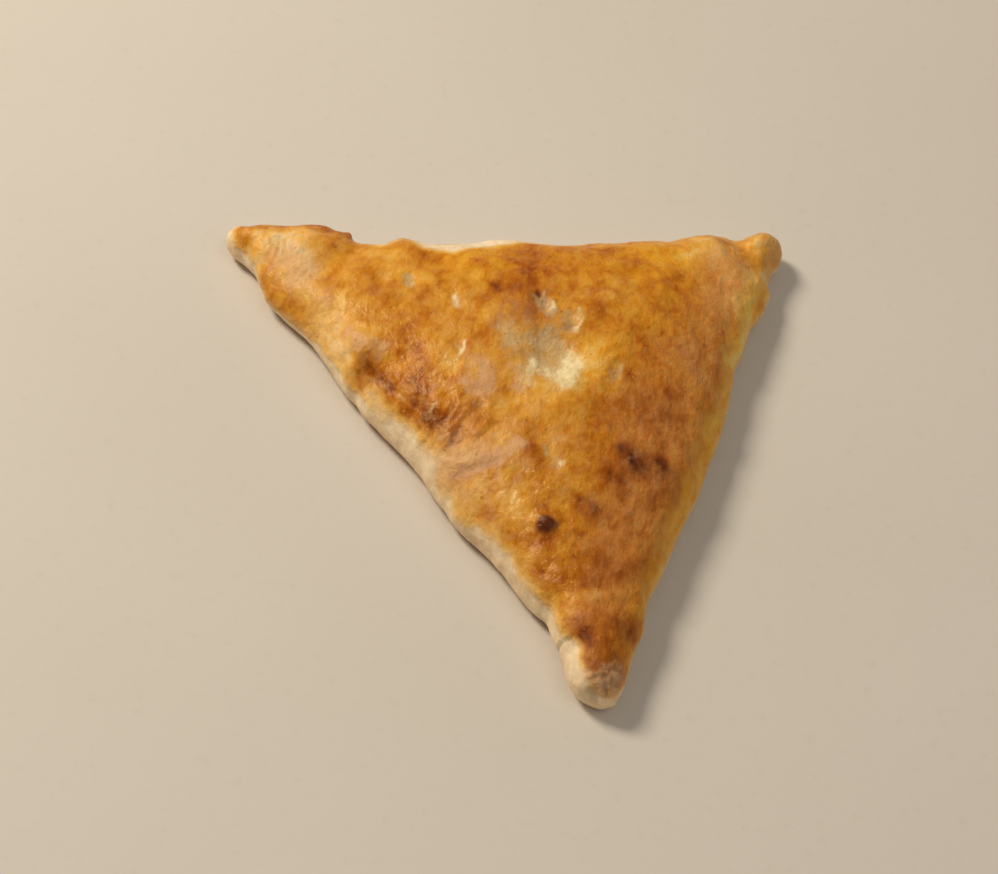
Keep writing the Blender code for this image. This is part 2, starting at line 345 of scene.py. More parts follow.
# Deeper, clearer yellow of the glaze.
GOLD_MARKS = (
    (((-25, 62), (10, 60), (45, 66)), 9.0, 1.0),
    (((-62, 66), (-50, 60)), 8.0, 0.3),
    (((31, 61), (47, 54)), 6.0, 0.7),
    (((40, 45), (26, 28), (32, 16)), 9.0, 0.7),
    (((-41, 25), (-39, 12), (-34, 4)), 4.0, 0.9),
    (((-9, -38), (-9, -48)), 3.0, 0.5),
    (((1, -74), (5, -79)), 4.0, 1.0),
    (((15, 22), (8, 13)), 4.0, 0.4),
    (((76, 56), (66, 36), (48, -5), (20, -56), (10, -78)), 6.5, 1.0),
)
# Dry, floury, pinkish skin, and pinkish painted highlights on the left blister, the flap's pouch, the
# burnt blister and around a glint.
DRY_AND_HIGHLIGHT_MARKS = (
    (((-20.5, 17), (-22, 9)), 3.8, 1.0),
    # painted highlight on the burnt blister's upper left
    (((-10.3, -36.2),), 1.0, 0.8),
    (((-15, -12), (-20, -14)), 2.4, 0.5),
    (((-35, 11),), 1.6, 0.6),
    # painted highlights on the left blister and on the flap's pouch
    (((-53, 32), (-48, 28)), 2.4, 0.8),
    (((-66, 63),), 2.6, 0.6),
    (((-73, 74), (-66, 66)), 6.0, 0.45),
    (((-34, -12), (-26, -13)), 3.0, 0.7),
    (((-30, -16.5), (-21, -16.5)), 1.8, 0.8),
    (((-17, -14), (-13, -11)), 2.0, 0.6),
    (((-10.5, 14), (-10.5, 7)), 1.8, 0.7),
    (((3, 9),), 1.4, 0.5),
    # painted halo round a glint
    (((-26, 23),), 1.8, 0.4),
    (((-2, -10),), 2.4, 0.5),
    (((-71, 68), (-66, 57), (-60, 44), (-56, 36)), 4.5, 0.55),
    (((-28, -22), (-22, -34)), 2.8, 0.35),
    (((-28, -4), (-20, -20)), 6.0, 0.30),
    (((66, 56), (54, 46)), 7.0, 0.30),
    (((-36, -4), (-33, -14)), 3.0, 0.3),
    (((-5, -66),), 1.2, 0.5),
    (((-1, -86), (6, -84.5)), 4.0, 1.2),
    (((44, 25), (47, 18)), 5.0, 0.3),
    (((-14, -46),), 2.2, 0.5),
    (((83, 74), (84, 82)), 3.5, 0.5),
)
# Sunken skin that the heat hardly reached, grey-beige.
HOLLOW_MARKS = (
    (((9, 36), (8.7, 31)), 2.0, 0.85),
    (((0, 26), (3, 16)), 4.6, 1.1),
    (((2.4, 43), (2.8, 38)), 2.0, 1.1),
    (((-1, -10),), 2.4, 0.5),
    (((-12, 31), (-10, 26)), 3.2, 0.6),
    (((-11, 38), (-9, 22)), 5.0, 0.25),
    (((-12, 18), (-8, 8)), 3.0, 0.25),
    (((2, 19),), 3.0, 0.4),
    (((-6, 42), (-6, 30)), 4.5, 0.22),
    (((3, 35), (3, 31)), 2.6, 0.28),
    (((-8, 14), (-4, 19)), 2.5, 0.5),
    (((-36, 56), (-36, 53)), 1.9, 1.1),
    (((-27.5, 26), (-26, 23)), 1.1, 0.6),
    (((18.5, 13), (20, 17)), 1.4, 0.8),
    (((-5, -14), (-3.5, -19)), 1.7, 0.7),
    (((-31, -7),), 2.0, 0.4),
    (((-1, -86), (6, -85)), 3.4, 0.40),
)
# Thin stretched skin that stayed cream, with painted highlights and glints where light catches the rims
# of pits and furrows.
CREAM_AND_HIGHLIGHT_MARKS = (
    (((11.8, 39), (11, 33), (9.3, 29)), 0.8, 0.7),
    (((4, 12), (6.5, 18)), 3.0, 0.95),
    (((-3, 15), (3, 12)), 3.0, 0.45),
    (((-2, 7), (3, 10)), 3.0, 0.35),
    (((8, 17), (6, 24)), 2.6, 0.4),
    (((-5, 17), (-8.5, 9)), 1.8, 0.75),
    (((5, 43), (4.6, 39)), 0.8, 0.75),
    (((-24, 47.5), (-23.6, 42)), 1.0, 1.0),
    (((-34.5, 53),), 1.0, 0.6),
    (((-26, 22), (-23.5, 25.5)), 0.7, 0.85),
    (((-1.8, -17.8),), 0.9, 0.8),
    (((-35.5, 5.5), (-33.5, 7)), 0.6, 0.6),
)
# Scorched spots, and painted shade in the steam hole and in the slit of the blunt end.
SCORCH_AND_SHADE_MARKS = (
    (((-8.8, -37.6),), 2.5, 1.1),
    (((18.6, -15.5), (19.3, -18)), 1.8, 0.25),
    (((29, -16.8),), 1.8, 0.22),
    # painted shade in the steam hole
    (((1, 45.5),), 0.8, 1.0),
    (((3, -61.5),), 0.6, 0.6),
    # painted shade in the slit of the blunt end
    (((1.3, -84), (2, -87.5)), 0.6, 0.45),
)
# The pale band climbs onto the skin (above 0) or the browning runs down it (below 0).
BAND_MARKS = (
    (((-29, 72), (-22, 69.5), (-14, 72), (-5, 75.5)), 3.3, 1.15),  # cream rim of the back edge
    (((-26, 77), (-8, 79)), 3.5, 0.25),
    (((-5, 76), (8, 78)), 2.6, 0.5),
    (((-43, 75), (-38, 76)), 2.4, 0.50),
    (((-86, 87), (-89, 80), (-86, 74)), 3.0, 0.40),
    (((-80, 64), (-68, 44)), 4.0, -0.30),
    (((-64, 42), (-57, 27)), 2.4, 0.14),
    (((-52, 16), (-46, 6)), 3.0, 0.24),
    (((-43, 2), (-37, -9)), 3.0, 0.40),
    (((-35, -11), (-32, -18)), 3.0, 0.18),
    (((-31, -23), (-27, -29)), 2.6, -0.04),
    (((-26, -32), (-20, -42)), 2.4, 0.22),
    (((-18, -48), (-14, -58)), 3.0, 0.12),
    (((-7.5, -73), (-6.5, -79), (-6, -85)), 3.0, 0.95),  # pale side of the front knob
    (((20, 80), (50, 80), (62, 82)), 3.0, -0.15),
    (((78, 57), (60, 26), (43, -16), (21, -57), (10, -80)), 4.5, -0.18),
    (((83, 66), (86, 74), (89, 80)), 3.0, -0.30),
    (((-3, -89), (7, -87)), 3.0, 0.12),
)
# Flaky, wrinkled skin.
FLAKY_MARKS = (
    (((-40, 16), (-34, -4)), 8.0, 0.7),
    (((-30, -16), (-14, -24)), 9.0, 0.9),
    (((-50, 28),), 5.0, 0.5),
    (((-70, 74),), 7.0, 0.25),
    (((-12, 2), (-20, 10)), 7.0, 0.5),
    (((1, -86),), 4.0, 0.8),
)
# Grainy, blistered glaze.
SKIN_GRAIN = 0.5
GRAIN_RANGE = (0.1, 1.2)
WALL_GRAIN = 0.25
GRAINY_MARKS = (
    (((-8, -20), (-6, -52)), 9.0, 0.7),
    (((-45, 45), (-38, 15)), 12.0, 0.35),
    (((12, 4), (28, 25)), 12.0, 0.30),
    (((62, 66), (62, 40)), 13.0, -0.50),
    (((40, 0), (26, -30), (14, -56), (6, -76)), 12.0, -0.30),
)

# --- How the marks are worked in ---------------------------------------------
# Marks stray sideways, so that they get ragged edges: (how far, size of the waves, seed).
RELIEF_STRAY = (0.35, 5.0, 11)
FINISH_STRAY = (0.5, 5.0, 31)
FINE_FINISH_STRAY = (0.35, 1.6, 33)
SEAM_STRAY = (2.2, 14.0, 21)
WAVE_COUNT = 28
WAVE_SPREAD = (0.6, 1.8)  # shortest and longest wave, as parts of the asked size
# How far up the surface looks where each mask begins and where it is whole, from -1 to 1.
UPPER = (0.05, 0.5)
WALL_AND_UPPER = (-0.6, -0.1)
BANDED = (-0.3, 0.1)
LEVEL = (0.75, 0.95)
UNDERSIDE = (0.7, 0.95)
LEAST_LEAN = 0.2  # a surface that leans outward less than this is moved outward less
OFF_THE_BASE = (0.4, 3.0)  # heights between which the fine relief sets in
# Marks across their line. A gap is given in parts of the reach or the half width.
RISE_CRISPNESS = 1.3
BURN_CRISPNESS = 1.2
PIT_STEEPNESS = 2.4
CREASE_STEEPNESS = 1.4
PIT_RIM = (0.10, 1.7, 0.5)  # its height in parts of the depth, the gap of its crest, its width
CREASE_RIM = (0.25, 2.2, 0.8)
DEEPEST_CREASE = 0.5  # deeper creases get no more painted shade
# The underside: three folded leaves of dough meet in seams.
SEAM_MEETING = (2.0, 24.0)
SEAMS = (((-70.0, 70.0), 1.1), ((68.0, 68.0), 0.9), ((2.0, -74.0), 0.7))  # end, height
SEAM_WIDTH = 1.6
SEAM_STEEPNESS = 1.3
BASE_WAVES = (9.0, 23)  # size and seed
BASE_UNEVENNESS = 0.12

# --- Finer relief, made by the node tree -------------------------------------
RELIEF = {
    "Swell Size": 15.0 * MM,
    "Swell Height": 2.8 * MM,
    "Lump Size": 5.5 * MM,
    "Lump Height": 1.2 * MM,
    "Grain Size": 1.9 * MM,
    "Grain Height": 0.60 * MM,
    "Flake Size": 2.2 * MM,
    "Flake Height": 0.30 * MM,
}
RELIEF_SEED = 4.0
FLAKE_TURN = math.radians(38)
FLAKE_STRETCH = 2.4
GRAIN_TURN = math.radians(18)  # the crust's mottling is drawn out from front to back
GRAIN_DRAW = 0.68

# --- Light, camera and floor -------------------------------------------------
VIEW_AZIMUTH = -17.9
VIEW_ELEVATION = 48.4
VIEW_ROLL = 13.1
VIEW_DISTANCE = 716.8 * MM
VIEW_AIM = Vector((-16.45, -0.75, 0.0)) * MM  # from the middle of the pie
LENS = 90.2
SENSOR = 36.0
NEAR = 10 * MM
SKY = (1.0, 0.985, 0.96, 1.0)
SKY_STRENGTH = 0.24
KEY = {
    "azimuth": -130,
    "elevation": 43,
    "distance": 1.5,
    "size": 0.45,
    "power": 18.5,
    "colour": (1.0, 0.95, 0.86),
}
FILL = {
    "azimuth": 40,
    "elevation": 60,
    "distance": 1.8,
    "size": 1.4,
    "power": 5.0,
    "colour": (1.0, 0.98, 0.95),
}
FLOOR_REACH = 4.0
FLOOR_GAP = 0.2 * MM


def tone(red, green, blue):
    """A colour given as it looks on a screen, 0 to 255, as the shaders want it."""
    linear = []
    for part in (red, green, blue):
        part /= 255
        linear.append(part / 12.92 if part <= 0.04045 else ((part + 0.055) / 1.055) ** 2.4)
    return (*linear, 1.0)


# --- Nodes written as arithmetic ---------------------------------------------
class Link:
    """An output of a node. Arithmetic on it adds Math nodes to its tree."""

    def __init__(self, tree, socket):
        self.tree = tree
        self.socket = socket

    def math(self, operation, first, second):
        settings = {"operation": operation}
        return self.tree.add("ShaderNodeMath", settings, {0: first, 1: second})

    def __add__(self, other):
        return self.math("ADD", self, other)

    def __radd__(self, other):
        return self.math("ADD", other, self)

    def __sub__(self, other):
        return self.math("SUBTRACT", self, other)

    def __rsub__(self, other):
        return self.math("SUBTRACT", other, self)

    def __mul__(self, other):
        return self.math("MULTIPLY", self, other)

    def __rmul__(self, other):
        return self.math("MULTIPLY", other, self)

    def __truediv__(self, other):
        return self.math("DIVIDE", self, other)

    def __rtruediv__(self, other):
        return self.math("DIVIDE", other, self)

    def __abs__(self):
        return self.math("ABSOLUTE", self, 0.0)

    def rise(self, low, high):
        """0 up to low, 1 from high, smooth between them; turned over if low is above high."""
        settings = {"interpolation_type": "SMOOTHSTEP"}
        sockets = {"Value": self, "From Min": low, "From Max": high}
        return self.tree.add("ShaderNodeMapRange", settings, sockets)


class Tree:
    """A node tree being built."""

    def __init__(self, nodes):
        self.nodes = nodes

    def add(self, kind, settings=None, sockets=None, out=0):
        """A new node: its settings, then the values or links of its sockets."""
        node = self.nodes.nodes.new(kind)
        for name, value in (settings or {}).items():
            if name == "stops":
                self.set_stops(node.color_ramp, value)
            else:
                setattr(node, name, value)
        for name, value in (sockets or {}).items():
            if isinstance(value, Link):
                self.nodes.links.new(value.socket, node.inputs[name])
            else:
                node.inputs[name].default_value = value
        return Link(self, node.outputs[out]) if node.outputs else node

    @staticmethod
    def set_stops(ramp, stops):
        while len(ramp.elements) < len(stops):
            ramp.elements.new(1.0)
        for element, (at, colour) in zip(ramp.elements, stops):
            element.position = at
            element.color = colour

    def blend(self, factor, first, second, mode="MIX"):
        """Two colours mixed."""
        settings = {"data_type": "RGBA", "blend_type": mode}
        return self.add("ShaderNodeMix", settings, {0: factor, 6: first, 7: second}, out=2)

    def ramp(self, value, stops):
        """A colour picked by a value along a row of stops."""
        return self.add("ShaderNodeValToRGB", {"stops": stops}, {0: value})

    def attribute(self, name):
        """A value stored on the mesh."""
        return self.add("ShaderNodeAttribute", {"attribute_name": name}, out="Fac")

    def noise(self, place, size, seed, detail=2.0, harsh=0.5, warp=0.0):
        """Irregular lumps about size across, from 0 to 1 around 0.5."""
        sockets = {
            "Vector": place,
            "W": seed,
            "Scale": 1.0 / size,
            "Detail": detail,
            "Roughness": harsh,
            "Distortion": warp,
        }
        return self.add("ShaderNodeTexNoise", {"noise_dimensions": "4D"}, sockets)

    def dots(self, place, gap, wide, tight):
        """Small round dots, about gap apart, fading from tight to wide parts of the gap."""
        sockets = {"Vector": place, "Scale": 1.0 / gap}
        return self.add("ShaderNodeTexVoronoi", None, sockets).rise(wide, tight)


# --- Marks on the dough ------------------------------------------------------
def gap_to(place, points):
    """Distance in plan from each place to the line through points."""
    points = np.array(points, float)
    if len(points) == 1:
        return np.hypot(*(place - points[0]).T)
    nearest = np.full(len(place), np.inf)
    for start, end in zip(points[:-1], points[1:]):
        run = end - start
        part = np.clip((place - start) @ run / (run @ run), 0, 1)
        away = place - start - part[:, None] * run
        nearest = np.minimum(nearest, np.hypot(*away.T))
    return nearest


def marks(place, items, crispness=1.0):
    """The sum of soft marks. Above 1, crispness gives them flatter tops and steeper edges."""
    total = np.zeros(len(place))
    for points, reach, amount in items:
        total += amount * 0.5 ** ((gap_to(place, points) / reach) ** (2 * crispness))
    return total


def waves(place, size, seed):
    """A smooth irregular field around 0 with a spread of 1 and lumps about size across."""
    draw = np.random.default_rng(seed)
    field = np.zeros(len(place))
    for _ in range(WAVE_COUNT):
        run = draw.normal(size=3)
        length = 2 * size * draw.uniform(*WAVE_SPREAD)
        run *= math.tau / (length * np.linalg.norm(run))
        field += np.sin(place @ run + draw.uniform(0, math.tau))
    return field * math.sqrt(2 / WAVE_COUNT)


def smooth_rise(value, low, high):
    """0 up to low, 1 from high, smooth between them."""
    part = np.clip((value - low) / (high - low), 0, 1)
    return part * part * (3 - 2 * part)


# --- The pie's mesh ----------------------------------------------------------
def evaluated_copy(piece):
    """The piece's mesh with its modifiers applied."""
    graph = bpy.context.evaluated_depsgraph_get()
    return bpy.data.meshes.new_from_object(piece.evaluated_get(graph))


def solid_copy(node):
    """The solid's mesh, joined up and with its triangles paired again."""
    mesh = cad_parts[node].data.copy()
    mesh.materials.clear()
    shape = bmesh.new()
    shape.from_mesh(mesh)
    bmesh.ops.remove_doubles(shape, verts=shape.verts, dist=DOUBLES_GAP * MM)
    bmesh.ops.join_triangles(
        shape,
        faces=shape.faces,
        angle_face_threshold=PAIR_BEND,
        angle_shape_threshold=PAIR_SKEW,
    )
    bmesh.ops.recalc_face_normals(shape, faces=shape.faces)
    shape.to_mesh(mesh)
    shape.free()
    return mesh


def even_mesh(node):
    """The solid remeshed in small even faces, its facets smoothed away."""
    piece = bpy.data.objects.new("dough", solid_copy(node))
    bpy.context.scene.collection.objects.link(piece)
    even = piece.modifiers.new("even", "REMESH")
    even.mode = "VOXEL"
    even.voxel_size = VOXEL * MM
    evened = piece.modifiers.new("evened", "SMOOTH")
    evened.iterations = EVENING_ROUNDS
    evened.factor = SMOOTHING
    mesh = evaluated_copy(piece)
    bpy.data.objects.remove(piece)
    return mesh


def places_of(mesh):
    """Vertex places in millimetres."""
    flat = np.empty(len(mesh.vertices) * 3, np.float32)
    mesh.vertices.foreach_get("co", flat)
    return flat.reshape(-1, 3).astype(float) / MM


def set_places(mesh, places):
    mesh.vertices.foreach_set("co", (places * MM).astype(np.float32).ravel())
    mesh.update()


def normals_of(mesh):
    flat = np.empty(len(mesh.vertices) * 3, np.float32)
    mesh.vertex_normals.foreach_get("vector", flat)
    return flat.reshape(-1, 3).astype(float)


def store(mesh, name, values):
    layer = mesh.attributes.new(name, "FLOAT", "POINT")
    layer.data.foreach_set("value", values.astype(np.float32))


def creased(plan):
    """How deep the sharp folds are."""
    depths = np.zeros(len(plan))
    for points, half_width, depth in CREASES:
        gap = gap_to(plan, points) / half_width
        depths += depth * np.exp(-(gap**CREASE_STEEPNESS))
    return depths


def rim_beside(gap, depth, shape):
    """The low rim raised beside a pit or a crease."""
    height, crest, width = shape
    return height * depth * np.exp(-(((gap - crest) / width) ** 2))


def hand_relief(plan):
    """How far the marked places rise from the skin."""
    height = marks(plan, RISES, RISE_CRISPNESS)
    for points, reach, depth in PITS:
        gap = gap_to(plan, points) / reach
        height -= depth * 0.5 ** (gap**PIT_STEEPNESS)
        height += rim_beside(gap, depth, PIT_RIM)
    for points, half_width, depth in CREASES:
        gap = gap_to(plan, points) / half_width
        height += rim_beside(gap, depth, CREASE_RIM)
    return height


def seam_relief(plan):
    """How far the seams of the underside are drawn in."""
    rise = np.zeros(len(plan))
    for end, height in SEAMS:
        gap = gap_to(plan, (SEAM_MEETING, end)) / SEAM_WIDTH
        rise = np.maximum(rise, height * np.exp(-(gap**SEAM_STEEPNESS)))
    return rise


def strayed(places, spread, size, seed):
    """Places seen from above, each strayed sideways."""
    drift = np.stack([waves(places, size, seed), waves(places, size, seed + 1)], 1)
    return places[:, :2] + spread * drift


def mould(mesh):
    """Works the listed relief into the mesh and stores what the finish needs."""
    places = places_of(mesh)
    normals = normals_of(mesh)
    skyward = normals[:, 2]
    upper = smooth_rise(skyward, *UPPER)
    wall_and_upper = smooth_rise(skyward, *WALL_AND_UPPER)
    under = smooth_rise(-skyward, *UNDERSIDE)
    rim = 1 - smooth_rise(np.abs(skyward), *LEVEL)
    plan = strayed(places, *RELIEF_STRAY)

    lean = np.maximum(np.hypot(*normals[:, :2].T), LEAST_LEAN)
    outward = normals[:, :2] / lean[:, None]
    places[:, :2] += outward * (marks(places[:, :2], EDGES) * rim)[:, None]
    places += normals * (hand_relief(plan) * upper - creased(plan) * wall_and_upper)[:, None]
    unevenness = BASE_UNEVENNESS * (1 + waves(places, *BASE_WAVES))
    places[:, 2] += under * (seam_relief(strayed(places, *SEAM_STRAY)) + unevenness)
    set_places(mesh, places)

    ragged = strayed(places, *FINISH_STRAY) + strayed(places, *FINE_FINISH_STRAY)
    ragged -= places[:, :2]
    for name, where, items in (
        ("gold", plan, GOLD_MARKS),
        ("dry", ragged, DRY_AND_HIGHLIGHT_MARKS),
        ("hollow", ragged, HOLLOW_MARKS),
        ("cream", ragged, CREAM_AND_HIGHLIGHT_MARKS),
        ("flaky", plan, FLAKY_MARKS),
    ):
        store(mesh, name, np.clip(marks(where, items), 0, 1) * upper)
    store(mesh, "burn", np.clip(marks(plan, SCORCH_AND_SHADE_MARKS, BURN_CRISPNESS), 0, 1) * upper)
    store(mesh, "glaze", np.clip(SKIN_GLAZE + marks(plan, GLAZE_MARKS), 0, 1) * upper)
    grainy = np.clip(SKIN_GRAIN + marks(plan, GRAINY_MARKS), *GRAIN_RANGE)
    store(mesh, "grainy", grainy * upper + WALL_GRAIN * (1 - upper))
    store(mesh, "bake", SKIN_BAKE + marks(ragged, BAKE_MARKS))
    store(mesh, "band", marks(plan, BAND_MARKS) * smooth_rise(skyward, *BANDED))
    # The creases' depth, kept for the painted shade darkened into them.
    store(mesh, "crease", np.clip(creased(plan), 0, DEEPEST_CREASE) * wall_and_upper)
    store(mesh, "skyward", skyward)
    store(mesh, "lift", smooth_rise(places[:, 2], *OFF_THE_BASE))


# --- Fine relief -------------------------------------------------------------
def relief_tree(material):
    """Lumps, grain and slanting flakes, pushed out along the surface's normals."""
    group = bpy.data.node_groups.new("dough relief", "GeometryNodeTree")
    group.interface.new_socket("Geometry", in_out="INPUT", socket_type="NodeSocketGeometry")
    for name in RELIEF:
        group.interface.new_socket(name, in_out="INPUT", socket_type="NodeSocketFloat")
    group.interface.new_socket("Geometry", in_out="OUTPUT", socket_type="NodeSocketGeometry")
    tree = Tree(group)
    dough = tree.add("NodeGroupInput")
    sizes = {name: Link(tree, dough.socket.node.outputs[name]) for name in RELIEF}
    place = tree.add("GeometryNodeInputPosition")

    def named(name):
        settings = {"data_type": "FLOAT"}
        return tree.add("GeometryNodeInputNamedAttribute", settings, {"Name": name})

    def lumps(vector, size, detail, seed):
        sockets = {"Vector": vector, "W": seed, "Scale": 1.0 / size, "Detail": detail}
        return tree.add("ShaderNodeTexNoise", {"noise_dimensions": "4D"}, sockets)

    turned = tree.add(
        "ShaderNodeVectorRotate",
        {"rotation_type": "Z_AXIS"},
        {"Vector": place, "Angle": -FLAKE_TURN},
    )
    stretched = tree.add(
        "ShaderNodeVectorMath",
        {"operation": "MULTIPLY"},
        {0: turned, 1: (1 / FLAKE_STRETCH, 1.0, 1.0)},
    )
    swell = lumps(place, sizes["Swell Size"], 1.0, RELIEF_SEED + 3) - 0.5
    lump = lumps(place, sizes["Lump Size"], 2.0, RELIEF_SEED) - 0.5
    grain = lumps(place, sizes["Grain Size"], 3.0, RELIEF_SEED + 1) - 0.5
    flake = lumps(stretched, sizes["Flake Size"], 2.0, RELIEF_SEED + 2)
    crest = 1.0 - abs(flake * 2.0 - 1.0) * 2.0

    height = swell * sizes["Swell Height"] + lump * sizes["Lump Height"]
    height += grain * sizes["Grain Height"] * named("grainy")
    height += (crest - 0.5) * sizes["Flake Height"] * named("flaky")
    height *= named("lift")
    normal = tree.add("GeometryNodeInputNormal")
    push = tree.add("ShaderNodeVectorMath", {"operation": "SCALE"}, {0: normal, 3: height})
    moved = tree.add("GeometryNodeSetPosition", None, {"Geometry": dough, "Offset": push})
    for name, value in (("crest", crest), ("grain", grain)):
        settings = {"data_type": "FLOAT", "domain": "POINT"}
        sockets = {"Geometry": moved, "Name": name, "Value": value}
        moved = tree.add("GeometryNodeStoreNamedAttribute", settings, sockets)
    whole = tree.add("GeometryNodeRealizeInstances", None, {"Geometry": moved})
    baked = tree.add(
        "GeometryNodeSetMaterial", None, {"Geometry": whole, "Material": material}
    )
    tree.add("NodeGroupOutput", None, {"Geometry": baked})
    return group


def relieved(mesh, material):
    """The mesh with its fine relief, as a plain mesh."""
    mesh.materials.append(material)
    piece = bpy.data.objects.new("dough", mesh)
    bpy.context.scene.collection.objects.link(piece)
    relief = piece.modifiers.new("relief", "NODES")
    relief.node_group = relief_tree(material)
    for socket in relief.node_group.interface.items_tree:
        if socket.in_out == "INPUT" and socket.name in RELIEF:
            relief[socket.identifier] = RELIEF[socket.name]
    made = evaluated_copy(piece)
    bpy.data.objects.remove(piece)
    return made


def unfold(mesh):
    """Evens out the few faces that a deep notch in the rim has folded over."""
    shape = bmesh.new()
    shape.from_mesh(mesh)
    for _ in range(UNFOLDING_ROUNDS):
        shape.normal_update()
        folded = [
            vert
            for vert in shape.verts
            if any(edge.calc_face_angle(0.0) > FOLD_ANGLE for edge in vert.link_edges)
        ]
        bmesh.ops.smooth_vert(
            shape,
            verts=folded,
            factor=SMOOTHING,
            use_axis_x=True,
            use_axis_y=True,
            use_axis_z=True,
        )
    shape.to_mesh(mesh)
    shape.free()


def fit_inside(mesh):
    """Sizes the mesh to fill the solid's box and no more."""
    places = places_of(mesh)
    low, high = np.array(LOW) / MM, np.array(HIGH) / MM
    lowest, highest = places.min(0), places.max(0)
    parts = (places - lowest) / (highest - lowest)
    set_places(mesh, low + (high - low) * (BOX_MARGIN + (1 - 2 * BOX_MARGIN) * parts))


# --- Finishes ----------------------------------------------------------------
def new_material(name):
    """An empty material and its tree."""
    material = bpy.data.materials.new(name)
    material.use_nodes = True
    material.node_tree.nodes.clear()
    return material, Tree(material.node_tree)


GLAZED_STOPS = (
    (0.00, tone(240, 218, 176)),
    (0.14, tone(242, 202, 138)),
    (0.26, tone(234, 180, 92)),
    (0.38, tone(223, 157, 54)),
    (0.48, tone(209, 138, 38)),
    (0.60, tone(188, 111, 18)),
    (0.72, tone(164, 85, 5)),
    (0.86, tone(126, 57, 3)),
    (1.00, tone(76, 30, 12)),
)
MATT_STOPS = (
    (0.00, tone(240, 214, 170)),
    (0.18, tone(234, 184, 116)),
    (0.34, tone(216, 153, 80)),
    (0.48, tone(200, 127, 52)),
    (0.60, tone(180, 104, 38)),
    (0.74, tone(151, 79, 23)),
    (0.88, tone(116, 51, 13)),
    (1.00, tone(72, 29, 13)),
)


PALE_DOUGH = tone(247, 221, 180)
DULL_DOUGH = tone(229, 195, 150)
TOASTED_DOUGH = tone(196, 138, 76)
BROWNING_EDGE = tone(232, 180, 98)
BUFF = tone(216, 160, 100)
GOLD_TINGE = tone(255, 245, 155)
SCORCHED_AND_SHADED = tone(72, 20, 9)
# Painted glints on the tops of the glaze's beads.
PAINTED_GLINTS = tone(252, 204, 112)
BROWN_DOTS = tone(130, 62, 14)
# Patches that are laid over it: how ragged their edges are, the part of a mark where they
# begin and where they are whole, how much they cover, and their colour.
PATCHES = {
    # The dry patches are partly painted highlight.
    "dry": (1.6, (0.05, 1.15), 0.65, tone(209, 162, 118)),
    "hollow": (1.2, (0.08, 1.25), 0.70, tone(198, 174, 126)),
    # The cream patches are partly painted highlight on the rims of pits and furrows.
    "cream": (0.9, (0.10, 1.20), 0.78, tone(240, 219, 166)),
}
RAGGED_FROM = (0.0, 0.6)  # the part of a mark over which its raggedness sets in
# How far the surface is turned up where the wall's cream gives way to browned skin.
BROWNING = (0.02, 0.38)
EDGE_FADES = (0.18, 0.60)
EDGE_PALES = (0.80, 0.30)
TOASTING = (0.75, 1.35)  # the same for the toasted base, turned down

# Sizes of the crust's patterns, and the gaps between its beads, which carry painted glints, and dots.
CLOUD_SIZE = 10.0 * MM
BLOTCH_SIZE = 4.0 * MM
MOTTLE_SIZE = 1.7 * MM
SPECK_SIZE = 0.8 * MM
BUFF_SIZE = 3.0 * MM
BEADED_SIZE = 4.0 * MM
BEAD_GAP = 2.2 * MM
DOT_GAP = 3.6 * MM
WRINKLE_SIZE = 2.4 * MM
ROUGH_SIZE = 1.4 * MM
PORE_SIZE = 0.7 * MM
BUMP_DEPTH = 0.50 * MM
BUMP_STRENGTH = 0.9


